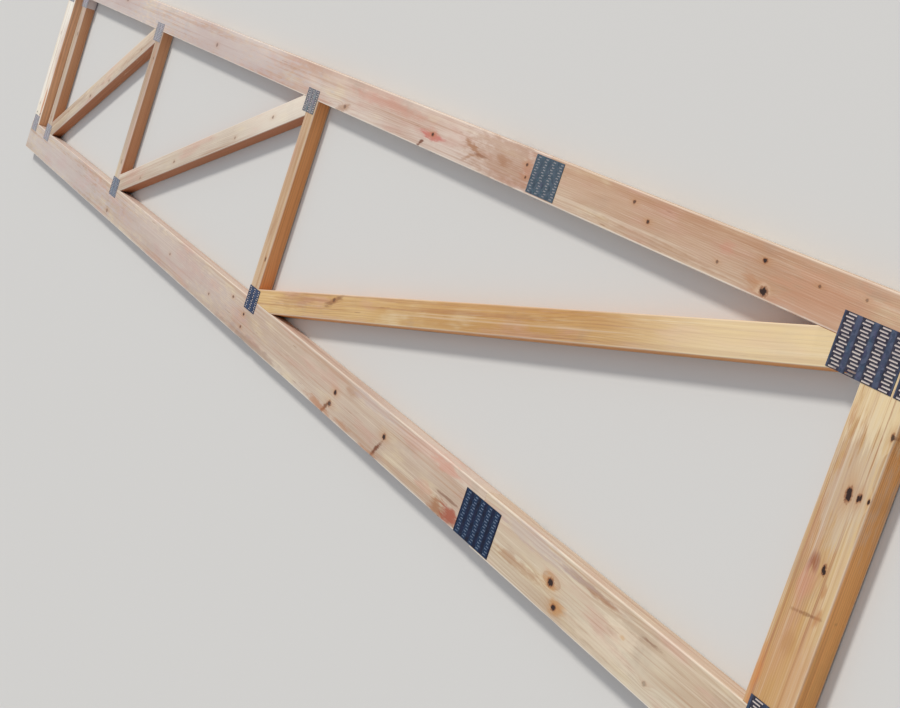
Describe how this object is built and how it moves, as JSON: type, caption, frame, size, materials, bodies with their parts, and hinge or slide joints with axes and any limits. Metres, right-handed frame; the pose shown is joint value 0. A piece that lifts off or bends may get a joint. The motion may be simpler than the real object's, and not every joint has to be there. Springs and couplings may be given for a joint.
{
  "type": "roof truss",
  "caption": "Parallel-chord timber roof truss: softwood chords, upright and diagonal webs and a central post, joined by punched steel nail plates on both faces.",
  "frame": {"origin": "centre of the truss's length and height, on the level that its lower nail plates lie on", "axes": "+X along the chords, +Y from the bottom chord up to the top chord, +Z out of the upper wide face"},
  "size_m": [11.241, 0.755, 0.04],
  "materials": {
    "timber": "planed, untreated softwood",
    "nail_plate": "galvanised, punched with teeth"
  },
  "bodies": {
    "root": {"bottom_chord_left": "timber", "bottom_chord_right": "timber", "diagonal_1_left": "timber", "diagonal_1_right": "timber", "diagonal_2_left": "timber", "diagonal_2_right": "timber", "diagonal_3_left": "timber", "diagonal_3_right": "timber", "end_post_left": "timber", "end_post_right": "timber", "inner_end_post_left": "timber", "inner_end_post_right": "timber", "king_post": "timber", "plate_back_bottom_splice": "nail_plate", "plate_back_end_foot_left": "nail_plate", "plate_back_end_foot_right": "nail_plate", "plate_back_end_head_left": "nail_plate", "plate_back_end_head_right": "nail_plate", "plate_back_foot_1_left": "nail_plate", "plate_back_foot_1_right": "nail_plate", "plate_back_foot_2_left": "nail_plate", "plate_back_foot_2_right": "nail_plate", "plate_back_head_1_left": "nail_plate", "plate_back_head_1_right": "nail_plate", "plate_back_head_2_left": "nail_plate", "plate_back_head_2_right": "nail_plate", "plate_back_inner_foot_left": "nail_plate", "plate_back_inner_foot_right": "nail_plate", "plate_back_inner_head_left": "nail_plate", "plate_back_inner_head_right": "nail_plate", "plate_back_king_foot": "nail_plate", "plate_back_king_head": "nail_plate", "plate_back_top_splice": "nail_plate", "plate_front_bottom_splice": "nail_plate", "plate_front_end_foot_left": "nail_plate", "plate_front_end_foot_right": "nail_plate", "plate_front_end_head_left": "nail_plate", "plate_front_end_head_right": "nail_plate", "plate_front_foot_1_left": "nail_plate", "plate_front_foot_1_right": "nail_plate", "plate_front_foot_2_left": "nail_plate", "plate_front_foot_2_right": "nail_plate", "plate_front_head_1_left": "nail_plate", "plate_front_head_1_right": "nail_plate", "plate_front_head_2_left": "nail_plate", "plate_front_head_2_right": "nail_plate", "plate_front_inner_foot_left": "nail_plate", "plate_front_inner_foot_right": "nail_plate", "plate_front_inner_head_left": "nail_plate", "plate_front_inner_head_right": "nail_plate", "plate_front_king_foot": "nail_plate", "plate_front_king_head": "nail_plate", "plate_front_top_splice": "nail_plate", "post_1_left": "timber", "post_1_right": "timber", "post_2_left": "timber", "post_2_right": "timber", "top_chord_left": "timber", "top_chord_right": "timber"}
  },
  "joints": []
}
